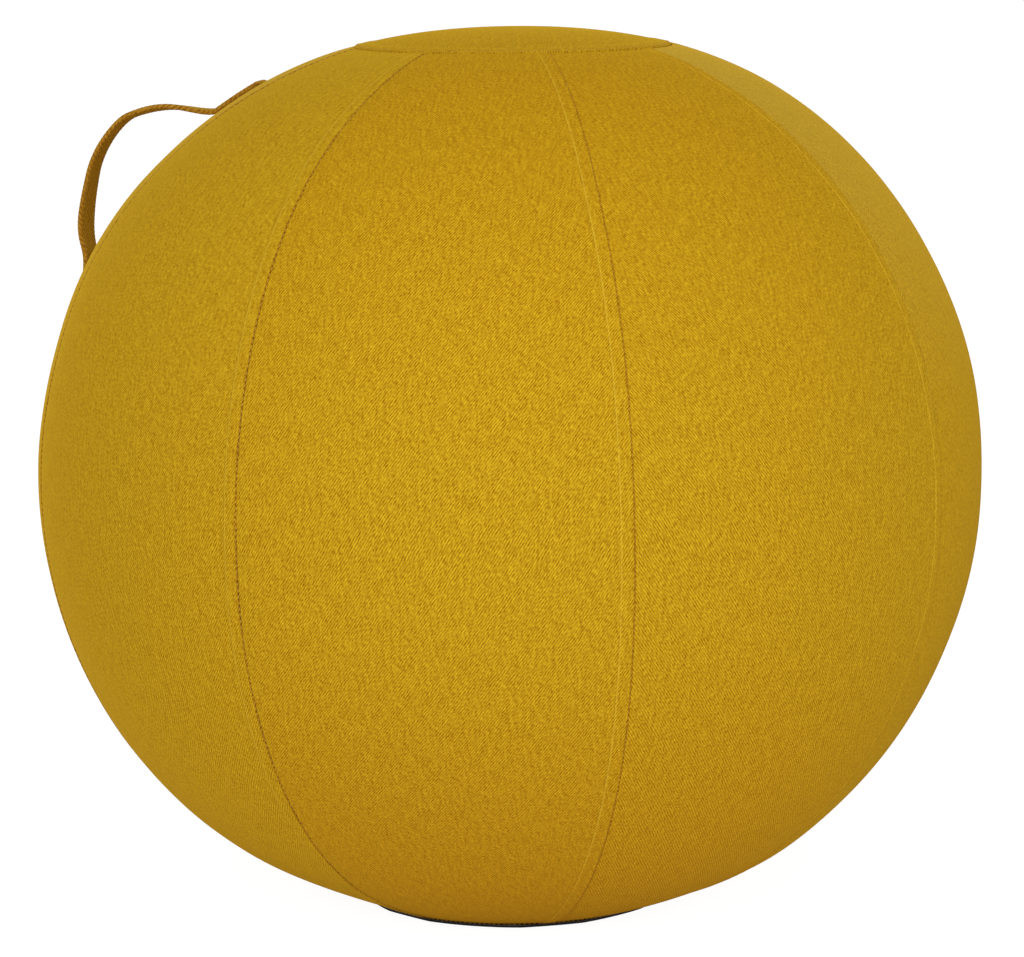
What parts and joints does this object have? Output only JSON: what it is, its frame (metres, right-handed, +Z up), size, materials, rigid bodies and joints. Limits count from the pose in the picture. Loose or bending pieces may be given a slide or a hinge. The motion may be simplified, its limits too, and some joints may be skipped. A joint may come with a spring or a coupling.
{
  "type": "sitting ball",
  "caption": "Round sitting ball in a sewn cloth cover with a round top panel, a strap handle, a zip behind the base and a weighted non-slip base.",
  "frame": {"origin": "centre of the base's underside, on the floor", "axes": "+Z up; the handle is on the -X side; the zip is behind the base on the +Y side"},
  "size_m": [0.65, 0.65, 0.6058],
  "materials": {
    "cover_cloth": "mustard twill upholstery cloth",
    "strap_cloth": "the cover's cloth, folded and stitched",
    "ball_skin": "soft moulded PVC, satin",
    "valve_seat": "moulded PVC",
    "valve_plug": "moulded polyethylene",
    "base_sheet": "embossed non-slip sheet",
    "base_band": "black imitation leather, rolled edge",
    "ring_steel": "plain cut steel plate",
    "pad_felt": "needled felt",
    "zip_tape": "woven zip tape",
    "zip_teeth": "moulded acetal teeth",
    "zip_metal": "nickel-plated zinc casting"
  },
  "bodies": {
    "ball": {"inner_ball": "ball_skin", "valve_seat": "valve_seat", "panel_1": "cover_cloth", "panel_2": "cover_cloth", "panel_3": "cover_cloth", "panel_4": "cover_cloth", "panel_5": "cover_cloth", "panel_6": "cover_cloth", "panel_7": "cover_cloth", "panel_8": "cover_cloth", "top_panel": "cover_cloth", "handle_root_low": "strap_cloth", "handle_root_high": "strap_cloth", "base_sheet": "base_sheet", "base_rim": "base_band", "weight_ring": "ring_steel", "base_pad": "pad_felt", "zip_facing": "cover_cloth", "zip_tape_cover": "zip_tape", "zip_tape_base": "zip_tape", "zip_teeth_cover": "zip_teeth", "zip_teeth_base": "zip_teeth", "zip_end_box": "zip_metal", "zip_top_stops": "zip_metal"},
    "plug": {"valve_plug": "valve_plug"},
    "handle": {"handle_loop": "strap_cloth"},
    "slider": {"zip_slider": "zip_metal"},
    "pull": {"zip_pull": "zip_metal"}
  },
  "joints": [
    {"name": "handle_swing", "type": "hinge", "parent": "ball", "child": "handle", "pos_m": [-0.29923, 0, 0.43398], "axis": [0.6349, 0, 0.7726], "range_deg": [-25, 25], "stiffness_Nm_per_rad": 0.05},
    {"name": "zip_travel", "type": "hinge", "parent": "ball", "child": "slider", "pos_m": [0, 0, 0], "axis": [0, 0, 1], "range_deg": [0, 124.5]},
    {"name": "pull_flip", "type": "hinge", "parent": "slider", "child": "pull", "pos_m": [0.1053, 0.05519, 0.00527], "axis": [0.8387, 0.4396, 0.3214], "range_deg": [-166.5, 10.5]},
    {"name": "plug_pull", "type": "slide", "parent": "ball", "child": "plug", "axis": [0, 0, -1], "range_m": [0, 0.0114]}
  ]
}
